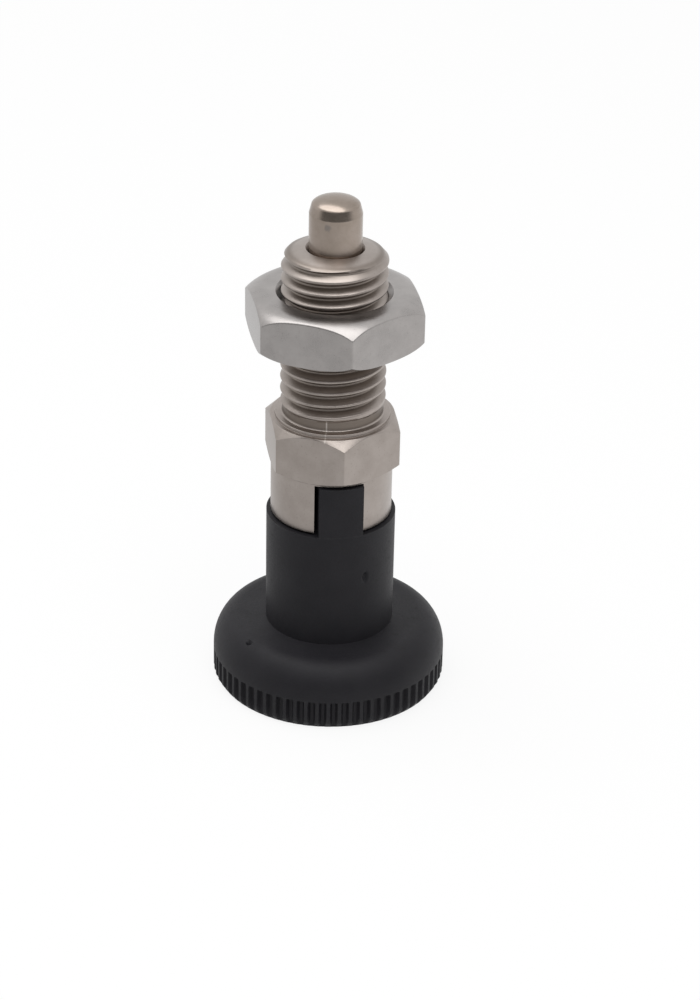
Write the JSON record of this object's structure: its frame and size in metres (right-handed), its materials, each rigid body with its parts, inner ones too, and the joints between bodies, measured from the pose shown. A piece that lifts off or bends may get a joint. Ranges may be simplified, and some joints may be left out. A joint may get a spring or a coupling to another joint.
{
  "type": "indexing plunger",
  "caption": "Spring-loaded locating pin in a threaded hexagon-collared guide, drawn back by a fluted black knob that can be turned to park it, with a hexagonal lock nut on the thread.",
  "frame": {"origin": "centre of the knob's outer face, on which the plunger stands", "axes": "+Z runs along the common axis from the knob to the tip of the pin; the knob's tongues, which stand in the slot, face -Y and +Y"},
  "size_m": [0.0273, 0.0272, 0.0602],
  "materials": {
    "stainless_steel": "turned from bar, satin, with fine tool marks round the axis",
    "pin_steel": "ground and plated, warm nickel tint",
    "spring_steel": "drawn wire, bright",
    "nut_steel": "satin faces, bright turned corners",
    "black_plastic": "moulded, matt, fine grain"
  },
  "bodies": {
    "guide": {"guide_body": "stainless_steel", "spring_seat_bush": "stainless_steel", "return_spring": "spring_steel"},
    "plunger": {"locating_pin": "pin_steel", "knob": "black_plastic"},
    "nut": {"lock_nut": "nut_steel"}
  },
  "joints": [
    {"name": "knob_pull", "type": "slide", "parent": "guide", "child": "plunger", "axis": [0, 0, -1], "range_m": [0, 0.0065], "stiffness_N_per_m": 1980, "springref_m": -0.003, "deforming": ["return_spring"]},
    {"name": "nut_travel", "type": "slide", "parent": "guide", "child": "nut", "axis": [0, 0, 1], "range_m": [-0.009, 0.0045]}
  ]
}
